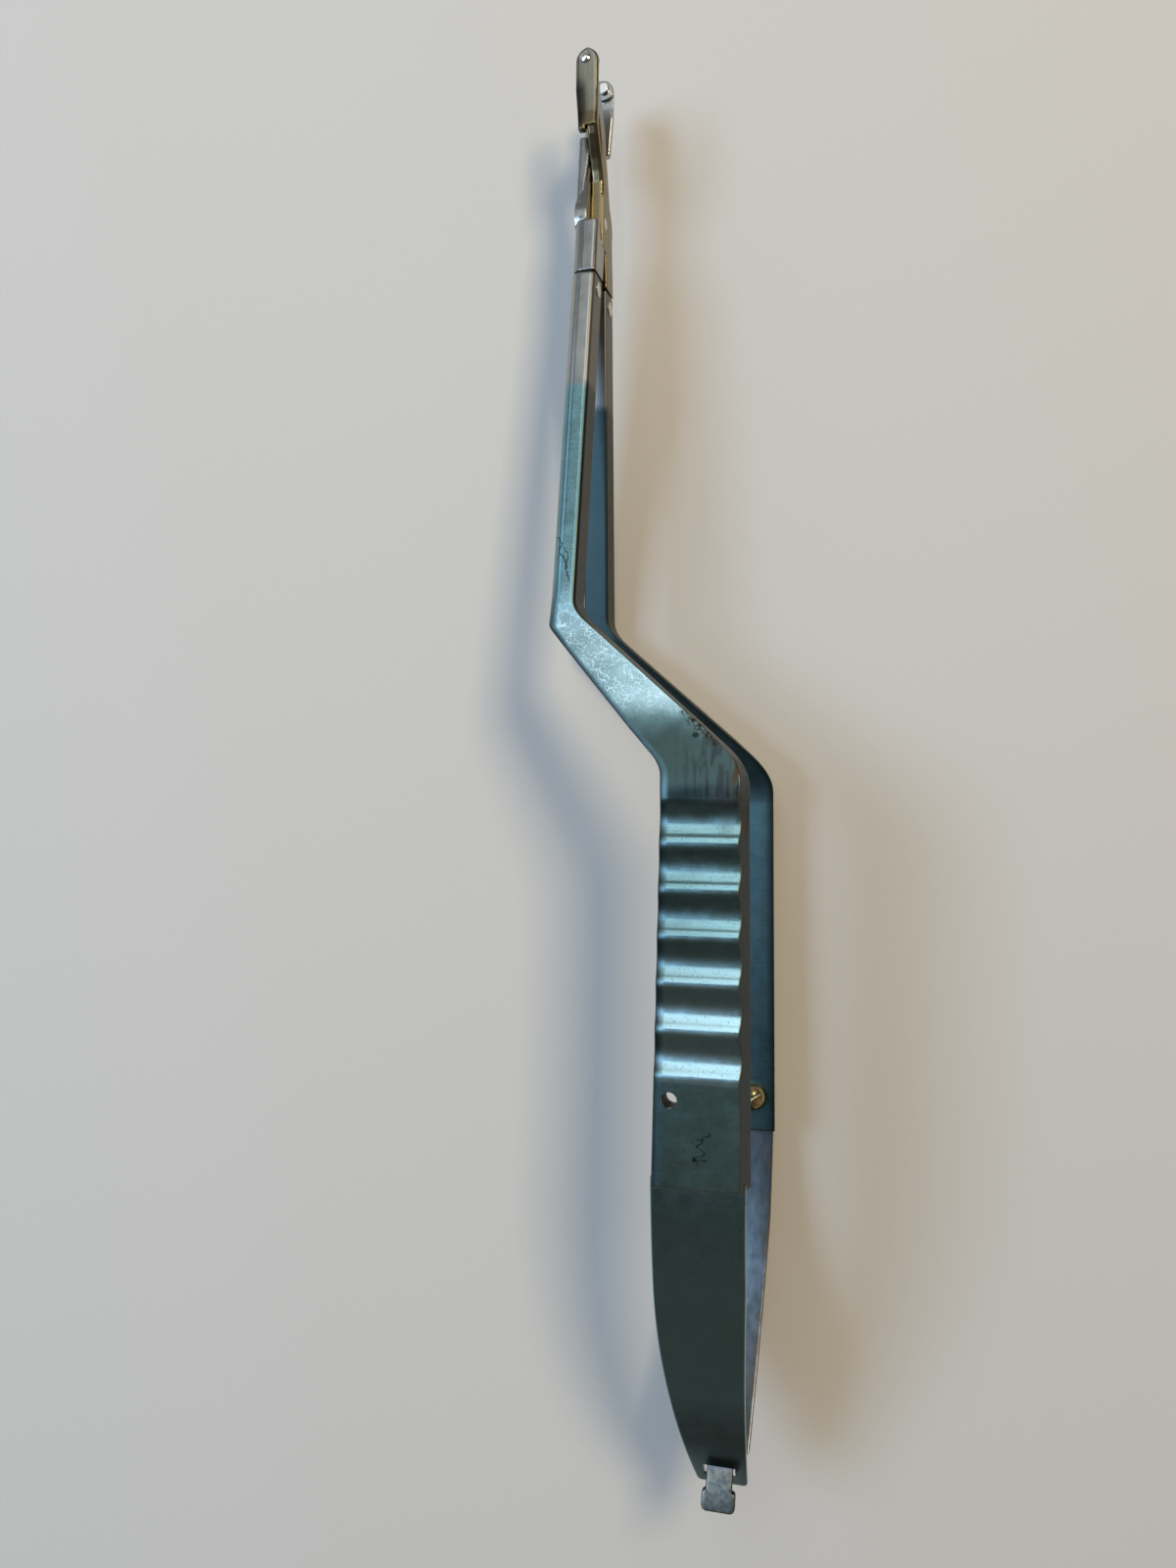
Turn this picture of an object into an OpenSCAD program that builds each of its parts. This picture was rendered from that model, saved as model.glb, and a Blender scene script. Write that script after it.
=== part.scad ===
// Aneurysm clip applier: two crossing arms on one lateral pivot, bayonet shanks,
// grooved finger plates and a pair of leaf springs that hold the jaws open.
// The shape is drawn about the pivot axis: X to the side, Y towards the jaws,
// Z from the lower to the upper arm. It is then laid down as it comes to rest:
// leaning on the left edge of the lower plate and on the corner of its bend.

/* [Overall] */
// Height over both finger plates with the jaws open
spread = 37; // [34:0.5:40]
// Sideways step of the bayonet, from the joint to the middle of the plates
bayonet = 21.2; // [18:0.1:24]

/* [Finger plates] */
// Plate thickness
plate_t = 4; // [3.5:0.1:4.5]
// Distance from the pivot to the rear end of the plates
plate_rear = 142.7; // [140:0.1:145]
// Number of finger grooves on each plate
groove_n = 6; // [3:1:6]
// Spacing of the finger grooves
groove_pitch = 6.37; // [6.2:0.01:6.5]
// Radius of a finger groove
groove_r = 5.2; // [4.6:0.1:6]
// Depth of a finger groove
groove_depth = 0.95; // [0.6:0.05:1.1]
// Diameter of the hole in the upper plate
hole_d = 2.2; // [1.5:0.1:3]
// Diameter of the stop screw head
screw_d = 4.2; // [3.5:0.1:5]
// Height of the stop screw head above its plate
screw_h = 2.4; // [1.5:0.1:2.6]

/* [Shanks and joint] */
// Width of the shanks and of the joint
shank_w = 3.9; // [3.5:0.1:4.5]
// Distance from the pivot to the seam between lever and arm
seam = 9.8; // [9:0.1:11]
// Width of the dark seam groove
seam_gap = 0.3; // [0.1:0.05:0.5]
// Radius of the round bosses in the joint
boss_r = 4.3; // [4:0.1:4.6]
// Diameter of the pivot pin
pivot_d = 1.8; // [1.5:0.1:2.2]
// Radial running clearance of the joint
running = 0.03; // [0.02:0.01:0.06]
// Diameter of the cross rivets that hold the levers in the arms
rivet_d = 2.2; // [1.6:0.1:2.4]

/* [Jaws] */
// Distance from the pivot to the tip of the jaws
jaw_tip = 25.3; // [24.5:0.1:27]
// Width of a jaw plate
jaw_w = 3.6; // [3:0.1:4]
// Thickness of a jaw plate at its tip
jaw_t = 1.3; // [1.1:0.05:1.6]
// Clear height between the jaw plates when open
jaw_gap = 7.3; // [7:0.1:7.6]
// Diameter of the pin through each jaw plate
tip_pin_d = 1.5; // [1:0.1:1.6]

/* [Leaf springs] */
// Thickness of the leaves
leaf_t = 1; // [0.8:0.05:1.2]
// Distance from the pivot to the place where the leaves cross
leaf_cross = 189.3; // [186:0.1:192]
// Distance from the pivot to the end of the upper leaf
leaf_end = 191.8; // [190:0.1:193]
// Distance from the pivot to the end of the tongue
tongue_end = 194.3; // [193:0.1:196]
// Width of the tongue's neck
neck_w = 3.9; // [3:0.1:4.4]
// Width of the tongue's head
head_w = 5; // [4.6:0.1:5.6]

/* [Hidden] */

$fn = 48;
eps = 0.01;
half = spread / 2;
half_w = shank_w / 2;
teal = [0.36, 0.47, 0.49];
bare = [0.72, 0.72, 0.7];

// Frame: laid down on the table, with the plate's left edge along Y and the
// origin under the middle of the whole tool
plate_front = 89.7;
lean_angle = 17.35;
flare = 0.013;
pivot_place = [-14.233, 84.364, 12.722];

// A soft corner of a line at y0, as an offset: nothing in front of the corner,
// slope change ds behind it, and a parabola over the length r on either side
function corner(y, y0, ds, r) =
    let (t = y0 + r - y)
    t <= 0 ? 0 : t >= 2 * r ? -ds * (t - r) : -ds * t * t / (4 * r);

// Side lines of the arms seen from above
lean = 0.012;
left_rake = 0.87;
left_bend = -64.9;
left_end = left_bend - 20.4;
right_rake = 1.13;
right_bend = -62.4;
right_end = right_bend - 23;
function left_x(y) =
    -half_w + lean * y + corner(y, left_bend, -left_rake - lean, 0.6)
    + corner(y, left_end, left_rake + flare, 1.6);
function right_x(y) =
    half_w + lean * y + corner(y, right_bend, -right_rake - lean, 1.8)
    + corner(y, right_end, right_rake - flare, 3);

// Height of an arm's outer face over the mid-plane, and its thickness
rise = 0.13;
bend_front = -64.7;
bend_rear = -87.8;
joint_h = 4.5;
bend_rise = (half - joint_h + rise * bend_front) / (bend_front - bend_rear);
function outer_z(y) =
    joint_h - rise * y + corner(y, bend_front, rise - bend_rise, 3)
    + corner(y, bend_rear, bend_rise, 2);
function arm_t(y) = lookup(y, [[-90, plate_t], [-64, 5.4], [-10, 4.6]]);
function inner_z(y) = outer_z(y) - arm_t(y);

// A closed section in the plane at y, with its own radius at every corner:
// the corners run lower left, lower right, upper right, upper left
arc_steps = 8;
function round_section(y, x0, x1, z0, z1, r) =
    let (cx = [x0 + r[0], x1 - r[1], x1 - r[2], x0 + r[3]],
         cz = [z0 + r[0], z0 + r[1], z1 - r[2], z1 - r[3]])
    [for (k = [0 : 3]) for (i = [0 : arc_steps])
        let (a = 180 + 90 * k + 90 * i / arc_steps)
        [cx[k] + r[k] * cos(a), y, cz[k] + r[k] * sin(a)]];

// A solid skin over a row of sections that run from front to rear
module loft(rows) {
    n = len(rows[0]);
    last = len(rows) - 1;
    polyhedron(
        points = [for (row = rows) for (p = row) p],
        faces = concat(
            [[for (i = [0 : n - 1]) i]],
            [[for (i = [0 : n - 1]) last * n + n - 1 - i]],
            [for (j = [0 : last - 1]) for (i = [0 : n - 1])
                let (k = (i + 1) % n)
                each [[j * n + i, j * n + n + i, j * n + k],
                      [j * n + k, j * n + n + i, j * n + n + k]]]),
        convexity = 10);
}

// Puts a shape drawn about the pivot into the frame of the whole tool
module placed()
    translate(pivot_place) rotate([0, -lean_angle, 0]) rotate([0, 0, atan(flare)]) children();

// Rod along X at a place in the side view
module cross_rod(y, z, d, x0, x1)
    translate([x0, y, z]) rotate([0, 90, 0]) cylinder(d = d, h = x1 - x0);

// Outline in the side view (y, z), given a width along X
module side_plate(x0, x1)
    translate([x0, 0, 0]) rotate([90, 0, 90]) linear_extrude(x1 - x0) children();

// Arms
arm_rows = concat([-seam, -24, -40, -54], [for (y = [-59 : -1 : -69]) y],
                  [-73, -78], [for (y = [-81 : -1 : -92]) y], [-116, -plate_rear]);
socket_w = 2;
socket_z = [1.9, 5.1];
tang_len = 5.5;
rivet_y = -11.9;
rivet_z = 3.6;
leaf_root = 7;
leaf_root_w = 10.5;
leaf_z = half - plate_t / 2;
hole_at = [17.1, -130.8];
screw_at = [24.2, -137.2];

// Upper arm with its inner face down; the lower arm is its mirror image
module arm_form() {
    difference() {
        loft([for (y = arm_rows) round_section(y, left_x(y), right_x(y),
              inner_z(y), outer_z(y),
              [0.3, 0.3, lookup(y, [[-66, 0.5], [-60, 0.7]]),
               lookup(y, [[-68, 0.5], [-60, 1.7]])])]);
        for (i = [0 : groove_n - 1])
            cross_rod(-plate_front - groove_pitch * (i + 0.5),
                      half + groove_r - groove_depth, groove_r * 2, 10, 32);
        translate([-socket_w / 2, -seam - tang_len, socket_z[0]])
            cube([socket_w, tang_len + 1, socket_z[1] - socket_z[0]]);
        cross_rod(rivet_y, rivet_z, rivet_d, -4, 4);
        translate([bayonet - leaf_root_w / 2, -plate_rear - 1, leaf_z - leaf_t / 2])
            cube([leaf_root_w, leaf_root + 1, leaf_t]);
    }
}

module upper_arm() color(teal) placed() difference() {
    arm_form();
    translate([hole_at[0], hole_at[1], half - plate_t - 1]) cylinder(d = hole_d, h = plate_t + 2);
}

screw_shank_d = 2.4;
screw_shank_h = 1.3;
module lower_arm() color(teal) placed() difference() {
    mirror([0, 0, 1]) arm_form();
    translate([screw_at[0], screw_at[1], -half + plate_t - screw_shank_h])
        cylinder(d = screw_shank_d, h = screw_shank_h + 1);
}

// Levers and jaws
// Lever of the upper jaw, drawn about the pivot. It is carried by the lower arm,
// fills the right half of the joint and rises towards the jaw. The other lever
// is the same piece turned over about the length of the tool.
shank_rows = [21, 19.6, 18.4, 17.4, 16.4, 15.2, 14, 12.5, 11, 8.8, 5.6, 2.6, 1, -1];
function shank_top(y) =
    lookup(y, [[-4, 1.7], [6, 1.7], [9, 2.05], [11, 2.45], [13, 3.1], [15, 3.9],
               [17.3, 4.7], [19.5, 4.93], [26, 4.93]]);
function shank_bottom(y) =
    lookup(y, [[-2, -4.45], [1, -4.15], [2.6, -3.75], [5.6, -2.95], [8.8, -2.1], [11, -1.5],
               [13, -1.1], [15.2, -0.5], [17.3, 0.9], [18.6, 2.4], [20, 3.6], [21, 3.75]]);
jaw_x = -0.1;
function shank_right(y) = lookup(y, [[4, half_w], [16, jaw_w / 2 + jaw_x]]);

// Plate of the upper jaw: rounded tip, crowned top, free rear end on the left
jaw_rear = 13.2;
jaw_bottom = jaw_gap / 2;
jaw_rows = concat([for (a = [84 : -12 : 0]) jaw_tip - jaw_w / 2 + jaw_w / 2 * sin(a)],
    [21.5, 19, 17, 15.4, 14.2, jaw_rear]);
function tip_half(y) =
    let (d = max(0, y - jaw_tip + jaw_w / 2)) sqrt(pow(jaw_w / 2, 2) - d * d);
function jaw_left(y) = jaw_x - tip_half(y) + lookup(y, [[13, 0.55], [19, 0]]);
function jaw_under(y) =
    jaw_bottom + lookup(y, [[13, 0.35], [15.5, 0.1], [19, 0]]);

// Rear part over the full width, with the same outer edges as the arm that it
// meets, and a round shoulder for the other lever's boss
module lever_blank(edges) {
    difference() {
        loft([for (y = [-1.2, -3, -6, -seam + seam_gap]) round_section(y, -half_w, half_w,
              -outer_z(y), -inner_z(y), [edges[0], edges[1], 0.2, 0.2])]);
        side_plate(-half_w - 1, -running) circle(r = boss_r + 2 * running);
    }
}

module lever_form(edges) {
    difference() {
        union() {
            lever_blank(edges);
            intersection() {
                side_plate(running, half_w) difference() {
                    circle(r = boss_r);
                    translate([-boss_r - 1, shank_top(0)]) square([boss_r * 2 + 2, boss_r]);
                }
                translate([-half_w, -10, -boss_r * 2]) cube([shank_w, 20, boss_r * 4]);
            }
            loft([for (y = shank_rows) round_section(y, running, shank_right(y),
                  shank_bottom(y), shank_top(y),
                  [0.2, lookup(y, [[17, 1.2], [19, 0.4]]), 0.5, 0.25])]);
            loft([for (y = jaw_rows) round_section(y, jaw_left(y), jaw_x + tip_half(y),
                  jaw_under(y), jaw_under(y) + jaw_t, [0.2, 0.2, 0.5, 0.6])]);
            // tang that goes into the arm
            translate([-socket_w / 2, -seam - tang_len, -socket_z[1]])
                cube([socket_w, tang_len + 1, socket_z[1] - socket_z[0]]);
        }
        cross_rod(rivet_y, -rivet_z, rivet_d, -4, 4);
        jaw_pin_bore();
        clip_seat();
    }
}

tip_pin_at = [jaw_x - 0.3, jaw_tip - 1.5];
module jaw_pin_bore()
    translate([tip_pin_at[0], tip_pin_at[1], 0]) cylinder(d = tip_pin_d, h = 10);

// Cross recess behind the tip that takes the spring of a clip
seat_y = [20.5, 23.4];
seat_depth = 0.55;
pad_r = 1.75;
module clip_seat() difference() {
    translate([jaw_x - jaw_w, seat_y[0], jaw_bottom - 1])
        cube([jaw_w * 2, seat_y[1] - seat_y[0], 1 + seat_depth]);
    translate([tip_pin_at[0], tip_pin_at[1], 0]) cylinder(r = pad_r, h = 10);
}

module turned_over() rotate([0, 180, 0]) children();

module upper_jaw() color(bare) placed() difference() {
    lever_form([1.7, 0.7]);
    cross_rod(0, 0, pivot_d, -4, 4);
}

module lower_jaw() color(bare) placed() difference() {
    turned_over() lever_form([0.7, 1.7]);
    cross_rod(0, 0, pivot_d + 2 * running, -4, 4);
}

module pivot_pin() color(bare) placed() cross_rod(0, 0, pivot_d, -half_w, half_w);

module upper_arm_rivet() color(bare) placed()
    cross_rod(rivet_y, rivet_z, rivet_d, -half_w, half_w);
module lower_arm_rivet() color(bare) placed()
    cross_rod(rivet_y, -rivet_z, rivet_d, -half_w, half_w);

// Pin with a low dome outside and a short plain end inside
dome = 0.25;
module tip_pin() {
    r = (pow(tip_pin_d / 2, 2) + dome * dome) / (2 * dome);
    top = jaw_bottom + jaw_t;
    translate([tip_pin_at[0], tip_pin_at[1], 0]) {
        translate([0, 0, jaw_bottom - 0.5]) cylinder(d = tip_pin_d, h = top - jaw_bottom + 0.5);
        intersection() {
            translate([0, 0, top + dome - r]) sphere(r = r);
            translate([0, 0, top - eps]) cylinder(d = tip_pin_d, h = 1);
        }
    }
}
module upper_tip_pin() color(bare) placed() tip_pin();
module lower_tip_pin() color(bare) placed() turned_over() tip_pin();

// Leaf springs
leaf_start = 0.08;
leaf_run = leaf_cross - plate_rear;
leaf_bow = (leaf_z - leaf_start * leaf_run) / pow(leaf_run, 2);
// Height of the middle of the upper leaf over the mid-plane
function leaf_mid(y) =
    let (s = max(0, -y - plate_rear)) leaf_z - leaf_start * s - leaf_bow * s * s;
// The lower leaf, seen upside down, levels out along its tongue
tongue_y = -leaf_cross + 1;
function tongue_mid(y) =
    let (t = max(0, tongue_y - y)) leaf_mid(max(y, tongue_y)) - 0.6 * t + 0.03 * t * t;
leaf_steps = 26;

// Side view of a leaf: heights of its middle at evenly spaced stations, thickened
module leaf_side(y_end, mid) {
    n = len(mid) - 1;
    ys = [for (i = [0 : n]) -plate_rear + (plate_rear - y_end) * i / n];
    polygon(concat([for (i = [0 : n]) [ys[i], mid[i] + leaf_t / 2]],
                   [for (i = [n : -1 : 0]) [ys[i], mid[i] - leaf_t / 2]]));
}

// Side lines of the leaves seen from above
leaf_taper = 0.045;
leaf_waist = -157;
leaf_pull = 3.5;
function leaf_left(y) =
    left_x(-plate_rear) + leaf_pull * pow(max(0, leaf_waist - y) / (leaf_cross + leaf_waist), 2);
function leaf_right(y) = right_x(-plate_rear) - leaf_taper * (-plate_rear - y);
tail_x = (leaf_left(-leaf_cross) + leaf_right(-leaf_cross)) / 2;

module leaf_plan(y_end) {
    ys = [for (i = [0 : leaf_steps]) -plate_rear + (plate_rear - y_end) * i / leaf_steps];
    polygon(concat([for (y = ys) [leaf_left(y), y]],
                   [for (i = [leaf_steps : -1 : 0]) [leaf_right(ys[i]), ys[i]]]));
}

module leaf(y_end, mid) {
    intersection() {
        translate([0, 0, -half]) linear_extrude(spread) children();
        side_plate(10, 32) leaf_side(y_end, mid);
    }
    translate([bayonet - leaf_root_w / 2, -plate_rear - eps, leaf_z - leaf_t / 2])
        cube([leaf_root_w, leaf_root, leaf_t]);
}

function stations(y_end) =
    [for (i = [0 : leaf_steps]) -plate_rear + (plate_rear - y_end) * i / leaf_steps];

slot_len = 2.3;
slot_w = 4.7;
module upper_spring() color(teal) placed() difference() {
    leaf(leaf_end, [for (y = stations(leaf_end)) leaf_mid(y)])
        offset(r = 0.7) offset(delta = -0.7) leaf_plan(leaf_end);
    translate([tail_x - slot_w / 2, -leaf_cross - slot_len / 2, -5])
        cube([slot_w, slot_len, 10]);
}

shoulder_y = leaf_cross - 2.2;
head_len = 2.7;
module tongue_plan() {
    offset(r = 0.6) offset(delta = -0.6) leaf_plan(shoulder_y);
    offset(r = -0.3) offset(delta = 0.3)
        translate([tail_x - neck_w / 2, -tongue_end + 1])
        square([neck_w, tongue_end - shoulder_y + 1]);
    offset(r = 0.8) offset(delta = -0.8)
        translate([tail_x - head_w / 2, -tongue_end]) square([head_w, head_len]);
}

module lower_spring() color(teal) placed() mirror([0, 0, 1])
    leaf(tongue_end, [for (y = stations(tongue_end)) tongue_mid(y)]) tongue_plan();

// Stop screw
slot_angle = 35;
module stop_screw() color(bare) placed()
    translate([screw_at[0], screw_at[1], -half + plate_t]) {
        r = (pow(screw_d / 2, 2) + pow(screw_h * 0.6, 2)) / (1.2 * screw_h);
        translate([0, 0, -screw_shank_h]) cylinder(d = screw_shank_d, h = screw_shank_h + eps);
        difference() {
            intersection() {
                cylinder(d = screw_d, h = screw_h);
                translate([0, 0, screw_h - r]) sphere(r = r);
            }
            rotate([0, 0, slot_angle]) translate([-3, -0.3, screw_h - 0.9]) cube([6, 0.6, 2]);
        }
    }

upper_arm();
lower_arm();
upper_jaw();
lower_jaw();
pivot_pin();
upper_arm_rivet();
lower_arm_rivet();
upper_tip_pin();
lower_tip_pin();
upper_spring();
lower_spring();
stop_screw();
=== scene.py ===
import bmesh
import bpy
import numpy as np
from mathutils import Matrix


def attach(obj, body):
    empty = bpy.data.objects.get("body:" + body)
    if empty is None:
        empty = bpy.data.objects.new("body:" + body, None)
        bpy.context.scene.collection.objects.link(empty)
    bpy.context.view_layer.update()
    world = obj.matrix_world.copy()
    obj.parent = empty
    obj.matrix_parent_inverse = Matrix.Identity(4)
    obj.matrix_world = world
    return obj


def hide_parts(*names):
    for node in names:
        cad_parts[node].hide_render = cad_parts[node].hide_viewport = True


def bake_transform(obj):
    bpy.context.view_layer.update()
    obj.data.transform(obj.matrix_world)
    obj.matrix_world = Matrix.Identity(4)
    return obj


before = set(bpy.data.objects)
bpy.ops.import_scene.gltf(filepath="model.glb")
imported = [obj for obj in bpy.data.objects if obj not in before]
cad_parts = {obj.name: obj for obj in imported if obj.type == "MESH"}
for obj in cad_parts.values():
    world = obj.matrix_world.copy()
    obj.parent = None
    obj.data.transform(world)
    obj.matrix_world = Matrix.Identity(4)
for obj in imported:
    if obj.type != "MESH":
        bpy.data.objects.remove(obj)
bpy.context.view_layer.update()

# The paper, the lamps and the camera.
# The tool lies on a sheet of pale paper under soft daylight from ahead and to
# the left. The camera stands where the photograph was taken, in metres.
camera_place = (-0.01962, -0.00657, 0.19574)
camera_right = (0.99901164, 0.0248554, 0.0368503)
camera_down = (0.02551874, -0.99951868, -0.01764119)
camera_ahead = (0.03639408, 0.01856412, -0.99916507)
focal_px = 1202.0
photo_height_px = 1600.0
sensor_mm = 36.0

camera = bpy.data.cameras.new("camera")
camera.sensor_fit = "VERTICAL"
camera.sensor_height = sensor_mm
camera.lens = focal_px / photo_height_px * sensor_mm
camera.clip_start = 0.01
camera_object = bpy.data.objects.new("camera", camera)
bpy.context.scene.collection.objects.link(camera_object)
turn = np.array([camera_right, [-c for c in camera_down], [-c for c in camera_ahead]]).T
camera_object.matrix_world = Matrix.Translation(camera_place) @ Matrix(turn.tolist()).to_4x4()
bpy.context.scene.camera = camera_object
bpy.context.scene.view_settings.view_transform = "Standard"


def lamp(name, place, aim, size, watts, colour):
    """A rectangular soft lamp at a place, its beam along the line to its aim."""
    light = bpy.data.lights.new(name, "AREA")
    light.shape = "RECTANGLE"
    light.size, light.size_y = size
    light.energy = watts
    light.color = colour
    obj = bpy.data.objects.new(name, light)
    bpy.context.scene.collection.objects.link(obj)
    beam = np.array(place) - np.array(aim)
    beam = beam / np.linalg.norm(beam)
    side = np.cross((0.0, 1.0, 0.001), beam)
    side = side / np.linalg.norm(side)
    axes = np.array([side, np.cross(beam, side), beam]).T
    obj.matrix_world = Matrix.Translation(place) @ Matrix(axes.tolist()).to_4x4()


window_aim = (-0.01, 0.0, 0.02)
lamp("window", (-0.254, 0.406, 0.683), window_aim, (0.30, 0.54), 0.82, (0.90, 0.96, 1.0))
lamp("left_window", (-0.68, 0.10, 0.68), window_aim, (0.32, 0.36), 4.8, (0.50, 0.72, 1.0))
lamp("right_glow", (0.28, 0.41, 0.84), window_aim, (0.28, 0.28), 4.6, (1.0, 0.82, 0.57))
lamp("far_left", (-0.95, 0.48, 0.55), window_aim, (0.30, 0.50), 0.5, (0.60, 0.82, 1.0))
lamp("behind_right", (0.90, -0.55, 0.50), window_aim, (0.80, 0.70), 0.25, (1.0, 0.90, 0.76))


class Link:
    """A socket of a finish. Arithmetic on it adds the Math node for it."""

    def __init__(self, finish, socket):
        self.finish, self.socket = finish, socket

    def _math(self, operation, first, second):
        return self.finish.node("ShaderNodeMath", {"operation": operation}, {0: first, 1: second})

    def __add__(self, other):
        return self._math("ADD", self, other)

    def __sub__(self, other):
        return self._math("SUBTRACT", self, other)

    def __rsub__(self, other):
        return self._math("SUBTRACT", other, self)

    def __mul__(self, other):
        return self._math("MULTIPLY", self, other)

    def __abs__(self):
        return self._math("ABSOLUTE", self, 0.0)

    def at_most(self, other):
        return self._math("MINIMUM", self, other)

    def at_least(self, other):
        return self._math("MAXIMUM", self, other)

    __radd__ = __add__
    __rmul__ = __mul__


class Finish:
    """One material: a Principled shader and the nodes that feed it."""

    def __init__(self, name):
        self.material = bpy.data.materials.new(name)
        self.material.use_nodes = True
        self.tree = self.material.node_tree
        self.shader = self.tree.nodes["Principled BSDF"]
        self.place = self.node("ShaderNodeTexCoord", {}, {}, "Object")

    def node(self, kind, settings, inputs, output=0):
        """Adds a node: its settings first, then its sockets' values or links."""
        made = self.tree.nodes.new(kind)
        for key, value in settings.items():
            if key == "stops":
                while len(made.color_ramp.elements) < len(value):
                    made.color_ramp.elements.new(0.5)
                for element, (position, colour) in zip(made.color_ramp.elements, value):
                    element.position = position
                    element.color = (*colour, 1.0)
            else:
                setattr(made, key, value)
        for key, value in inputs.items():
            self.feed(made.inputs[key], value)
        return Link(self, made.outputs[output])

    def feed(self, socket, value):
        """Links a socket to a Link, or sets the plain value on it."""
        if isinstance(value, Link):
            self.tree.links.new(value.socket, socket)
        elif isinstance(value, tuple) and len(value) == 3 and len(socket.default_value) == 4:
            socket.default_value = (*value, 1.0)
        else:
            socket.default_value = value

    def axis(self, name):
        """One coordinate of the surface point, in metres."""
        return self.node("ShaderNodeSeparateXYZ", {}, {0: self.place}, name)

    def noise(self, stretch, detail=3.0, roughness=0.55, shift=(0.0, 0.0, 0.0), bend=0.0):
        """Noise in 0 to 1, with its own scale along each axis, in cycles a metre."""
        scaled = self.node("ShaderNodeMapping", {}, {0: self.place, 1: shift, 3: stretch})
        return self.node(
            "ShaderNodeTexNoise", {"noise_dimensions": "3D"},
            {"Vector": scaled, "Scale": 1.0, "Detail": detail, "Roughness": roughness,
             "Distortion": bend}, 0)

    def rise(self, value, low, high):
        """Smooth step: 0 below low, 1 above high (or the reverse)."""
        return self.node("ShaderNodeMapRange", {"interpolation_type": "SMOOTHSTEP"},
                         {0: value, 1: low, 2: high, 3: 0.0, 4: 1.0})

    def blot(self, centre, radii, soft=0.5):
        """1 at a centre, falling to 0 at the radii of an ellipsoid round it."""
        away = self.node("ShaderNodeVectorMath", {"operation": "SUBTRACT"},
                         {0: self.place, 1: centre})
        scaled = self.node("ShaderNodeVectorMath", {"operation": "DIVIDE"},
                           {0: away, 1: radii})
        far = self.node("ShaderNodeVectorMath", {"operation": "LENGTH"}, {0: scaled}, "Value")
        return self.rise(far, 1.0, 1.0 - soft)

    def mix(self, factor, first, second):
        """Colour that goes from the first to the second as the factor goes 0 to 1."""
        return self.node("ShaderNodeMix", {"data_type": "RGBA", "clamp_factor": True},
                         {0: factor, 6: first, 7: second}, 2)

    def ramp(self, factor, stops):
        return self.node("ShaderNodeValToRGB", {"stops": stops}, {0: factor})

    def attribute(self, name):
        return self.node("ShaderNodeAttribute", {"attribute_name": name}, {}, "Fac")

    def bump(self, height, strength, distance):
        return self.node("ShaderNodeBump", {}, {"Strength": strength, "Distance": distance,
                                                "Height": height})

    def dress(self, obj):
        """Puts this finish on every face of a piece, or in a node's own slots."""
        if not obj.material_slots:
            obj.data.materials.append(self.material)
        for slot in obj.material_slots:
            slot.material = self.material


world = bpy.data.worlds.new("room")
bpy.context.scene.world = world
world.use_nodes = True
room_tree = world.node_tree
sky = room_tree.nodes.new("ShaderNodeTexCoord")
sky_parts = room_tree.nodes.new("ShaderNodeSeparateXYZ")
room_tree.links.new(sky.outputs["Generated"], sky_parts.inputs[0])
room_dark = (0.15, 0.125, 0.098, 1.0)
room_sides = (("Y", 0.15, 0.45, (0.27, 0.28, 0.27, 1.0)),
              ("Y", -0.15, -0.50, (0.080, 0.074, 0.062, 1.0)),
              ("X", -0.10, 0.35, (0.125, 0.100, 0.068, 1.0)),
              ("X", -0.62, -0.90, (0.26, 0.32, 0.40, 1.0)))
room_tone = None
for room_axis, room_from, room_to, room_colour in room_sides:
    room_part = room_tree.nodes.new("ShaderNodeMapRange")
    room_part.interpolation_type = "SMOOTHSTEP"
    room_part.inputs[1].default_value = room_from
    room_part.inputs[2].default_value = room_to
    room_tree.links.new(sky_parts.outputs[room_axis], room_part.inputs[0])
    sky_tone = room_tree.nodes.new("ShaderNodeMix")
    sky_tone.data_type = "RGBA"
    sky_tone.inputs[6].default_value = room_dark
    sky_tone.inputs[7].default_value = room_colour
    room_tree.links.new(room_part.outputs[0], sky_tone.inputs[0])
    if room_tone is not None:
        room_tree.links.new(room_tone.outputs[2], sky_tone.inputs[6])
    room_tone = sky_tone
background = room_tree.nodes["Background"]
room_tree.links.new(sky_tone.outputs[2], background.inputs["Color"])
background.inputs["Strength"].default_value = 1.0

paper = bpy.data.meshes.new("paper")
paper_half = 1.5
paper.from_pydata([(-paper_half, -paper_half, 0), (paper_half, -paper_half, 0),
                   (paper_half, paper_half, 0), (-paper_half, paper_half, 0)],
                  [], [(0, 1, 2, 3)])
paper_object = bpy.data.objects.new("paper", paper)
bpy.context.scene.collection.objects.link(paper_object)
paper_finish = Finish("pale paper")
paper_grain = paper_finish.noise((2600.0, 2600.0, 2600.0), detail=4.0)
paper_finish.feed(paper_finish.shader.inputs["Base Color"], paper_finish.mix(
    paper_grain, (0.62, 0.61, 0.59), (0.68, 0.67, 0.65)))
paper_finish.shader.inputs["Roughness"].default_value = 0.9
paper_finish.dress(paper_object)

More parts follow.
